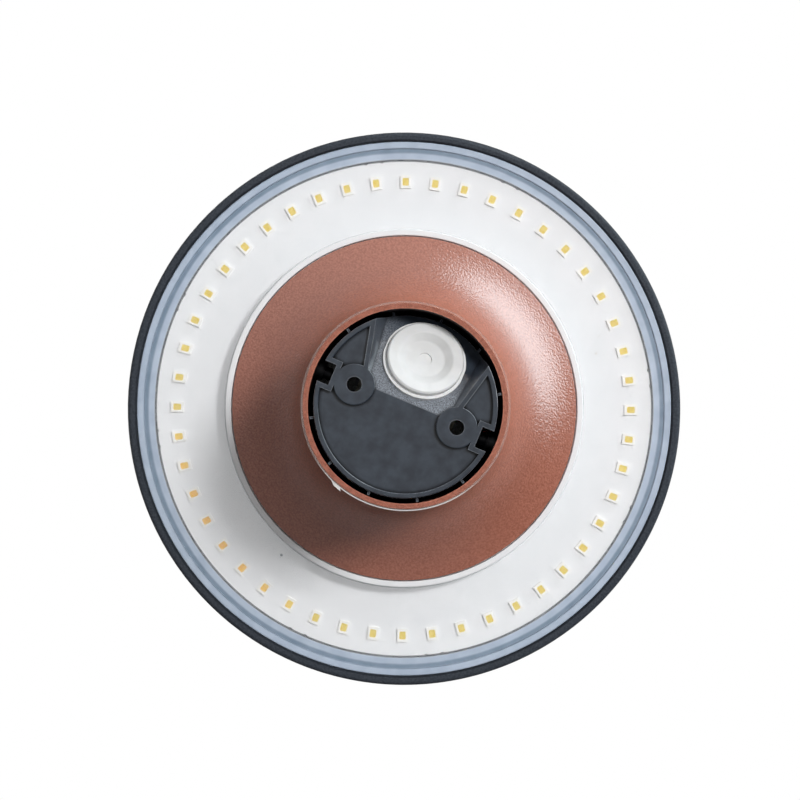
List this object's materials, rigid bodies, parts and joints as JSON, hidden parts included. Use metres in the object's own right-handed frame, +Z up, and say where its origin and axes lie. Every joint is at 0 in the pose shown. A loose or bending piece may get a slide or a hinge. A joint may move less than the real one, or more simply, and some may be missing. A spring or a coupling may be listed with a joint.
{
  "type": "outdoor wall light",
  "caption": "Trumpet-stemmed wall light: a disc head with a ring of LEDs facing the wall, held on a screwed wall base by grub screws.",
  "frame": {"origin": "centre of the wall base, on the wall plane", "axes": "+Z up the wall, +Y into the wall, so the light reaches out along -Y; X along the two wall screws"},
  "size_m": [0.1488, 0.0778, 0.1488],
  "materials": {
    "base_plastic": "moulded, fine grain",
    "grommet_rubber": "soft white, matt",
    "rust_coat": "rust-brown metallic powder coat, fine texture",
    "clear_silicone": "clear, satin",
    "zinc_steel": "zinc plated",
    "black_steel": "black oxide",
    "anthracite_coat": "anthracite powder coat, fine texture",
    "clear_polycarbonate": "clear, glossy",
    "milky_silicone": "milky, satin",
    "white_board": "white solder mask, satin",
    "led_white": "white moulded package",
    "phosphor": "pale yellow phosphor resin",
    "thermal_grey": "soft, matt",
    "bush_rubber": "soft, matt",
    "driver_plastic": "moulded, matt",
    "potting_resin": "cast resin",
    "terminal_plastic": "ivory, moulded",
    "brass": "turned",
    "live_brown": "PVC sleeve",
    "neutral_blue": "PVC sleeve",
    "earth_green": "PVC sleeve, green and yellow",
    "led_red": "PVC sleeve",
    "led_black": "PVC sleeve"
  },
  "bodies": {
    "base": {"wall_base": "base_plastic", "cable_grommet": "grommet_rubber"},
    "head": {"stem": "rust_coat", "wall_seal": "clear_silicone", "clinch_nuts": "black_steel", "front_cap": "anthracite_coat", "clear_cover": "clear_polycarbonate", "cover_gasket": "milky_silicone", "collar_gasket": "milky_silicone", "led_board": "white_board", "led_packages": "led_white", "led_phosphors": "phosphor", "thermal_pad": "thermal_grey", "carrier_plate": "zinc_steel", "plate_screws": "zinc_steel", "cap_screws": "zinc_steel", "lead_bush": "bush_rubber", "driver_case": "driver_plastic", "driver_potting": "potting_resin", "driver_screws": "zinc_steel", "terminal_block": "terminal_plastic", "terminal_clamps": "brass", "terminal_screws": "zinc_steel", "terminal_fixing_screws": "zinc_steel", "live_lead": "live_brown", "neutral_lead": "neutral_blue", "earth_lead": "earth_green", "earth_lug": "brass", "earth_screw": "zinc_steel", "led_lead_positive": "led_red", "led_lead_negative": "led_black"},
    "grub_left": {"grub_screw_left": "black_steel"},
    "grub_right": {"grub_screw_right": "black_steel"}
  },
  "joints": [
    {"name": "head_pull_off", "type": "slide", "parent": "base", "child": "head", "axis": [0, -1, 0], "range_m": [0, 0.03]},
    {"name": "grub_left_back_out", "type": "slide", "parent": "head", "child": "grub_left", "axis": [-1, 0, 0], "range_m": [0, 0.003]},
    {"name": "grub_right_back_out", "type": "slide", "parent": "head", "child": "grub_right", "axis": [1, 0, 0], "range_m": [0, 0.003]}
  ]
}
